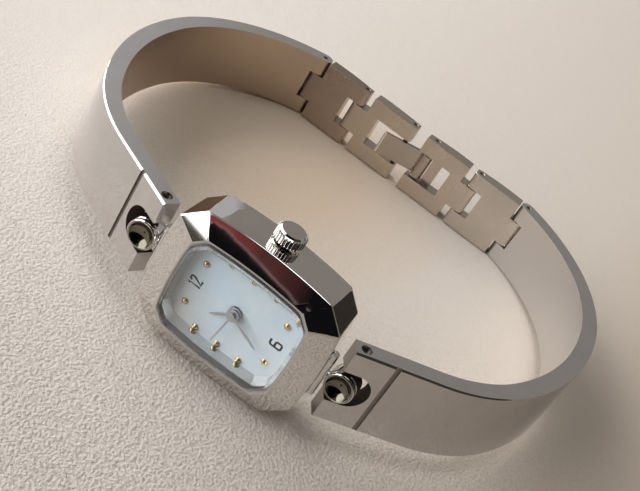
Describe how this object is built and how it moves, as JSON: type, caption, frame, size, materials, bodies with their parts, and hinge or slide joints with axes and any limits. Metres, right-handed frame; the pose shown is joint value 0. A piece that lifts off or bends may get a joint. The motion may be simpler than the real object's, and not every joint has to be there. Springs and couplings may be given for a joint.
{
  "type": "wristwatch",
  "caption": "Small bangle wristwatch: faceted cushion case with pearl dial between rigid curved arms that close behind the wrist with hinged links and a hook clasp.",
  "frame": {"origin": "centre of the overall box at its lowest face, where the case stands on its 9 o'clock side", "axes": "+X along the band towards 6 o'clock, +Y from the dial through the wrist to the clasp, +Z towards 3 o'clock and the crown"},
  "size_m": [0.063, 0.0522, 0.0178],
  "materials": {
    "case_steel": "polished",
    "arm_steel": "polished outside, satin inside",
    "link_steel": "satin",
    "pin_steel": "satin",
    "hook_steel": "polished",
    "crystal": "clear",
    "gasket": "matt",
    "pearl": "pearl",
    "gilt": "polished",
    "hand_steel": "polished",
    "movement_plate": "satin",
    "holder": "matt",
    "cell": "satin"
  },
  "bodies": {
    "watch_case": {"case_body": "case_steel", "case_back": "case_steel", "back_gasket": "gasket", "crystal": "crystal", "crystal_gasket": "gasket", "dial": "pearl", "hour_studs": "gilt", "movement_holder": "holder", "movement": "movement_plate", "battery_cell": "cell", "battery_strap": "pin_steel", "crown_tube": "pin_steel", "lug_cup_12": "case_steel", "lug_cup_6": "case_steel"},
    "hour": {"hour_hand": "hand_steel"},
    "minute": {"minute_hand": "hand_steel"},
    "second": {"second_hand": "hand_steel"},
    "setting": {"setting_lever": "movement_plate"},
    "winding": {"stem": "pin_steel", "crown": "case_steel"},
    "bangle_12": {"arm_12": "arm_steel", "hinge_pin_12": "pin_steel", "link_pin_a": "pin_steel"},
    "bangle_6": {"arm_6": "arm_steel", "hinge_pin_6": "pin_steel", "link_pin_e": "pin_steel"},
    "first_link": {"link_1": "link_steel", "link_pin_b": "pin_steel"},
    "second_link": {"link_2": "link_steel", "catch_bar": "pin_steel"},
    "third_link": {"link_3": "link_steel", "hook_pin": "pin_steel"},
    "fourth_link": {"link_4": "link_steel", "link_pin_d": "pin_steel"},
    "hook": {"clasp_hook": "hook_steel"}
  },
  "joints": [
    {"name": "minute_turn", "type": "hinge", "parent": "watch_case", "child": "minute", "pos_m": [0, -0.02479, 0.00815], "axis": [0, 1, 0], "continuous": true},
    {"name": "hour_turn", "type": "hinge", "parent": "watch_case", "child": "hour", "pos_m": [0, -0.02439, 0.00815], "axis": [0, 1, 0], "continuous": true},
    {"name": "second_turn", "type": "hinge", "parent": "watch_case", "child": "second", "pos_m": [0, -0.02499, 0.00815], "axis": [0, 1, 0], "continuous": true},
    {"name": "crown_pull", "type": "slide", "parent": "watch_case", "child": "setting", "axis": [0, 0, 1], "range_m": [0, 0.0006]},
    {"name": "crown_turn", "type": "hinge", "parent": "setting", "child": "winding", "pos_m": [0, -0.02129, 0.0173], "axis": [0, 0, 1], "continuous": true},
    {"name": "bangle_12_swing", "type": "hinge", "parent": "watch_case", "child": "bangle_12", "pos_m": [-0.0122, -0.02244, 0.00815], "axis": [0, 0, 1], "range_deg": [0, 35]},
    {"name": "bangle_6_swing", "type": "hinge", "parent": "watch_case", "child": "bangle_6", "pos_m": [0.0122, -0.02244, 0.00815], "axis": [0, 0, 1], "range_deg": [-35, 0]},
    {"name": "link_1_swing", "type": "hinge", "parent": "bangle_12", "child": "first_link", "pos_m": [-0.01638, 0.02514, 0.00815], "axis": [0, 0, 1], "range_deg": [0, 90]},
    {"name": "link_2_swing", "type": "hinge", "parent": "first_link", "child": "second_link", "pos_m": [-0.00943, 0.02514, 0.00815], "axis": [0, 0, 1], "range_deg": [0, 90]},
    {"name": "link_4_swing", "type": "hinge", "parent": "bangle_6", "child": "fourth_link", "pos_m": [0.01638, 0.02514, 0.00815], "axis": [0, 0, 1], "range_deg": [0, 60]},
    {"name": "link_3_swing", "type": "hinge", "parent": "fourth_link", "child": "third_link", "pos_m": [0.00902, 0.02514, 0.00815], "axis": [0, 0, 1], "range_deg": [0, 80]},
    {"name": "hook_swing", "type": "hinge", "parent": "third_link", "child": "hook", "pos_m": [0.00192, 0.02514, 0.00815], "axis": [0, 0, 1], "range_deg": [0, 90]}
  ],
  "couplings": [
    {"joint": "hour_turn", "follows": "minute_turn", "ratio": 0.083333}
  ]
}
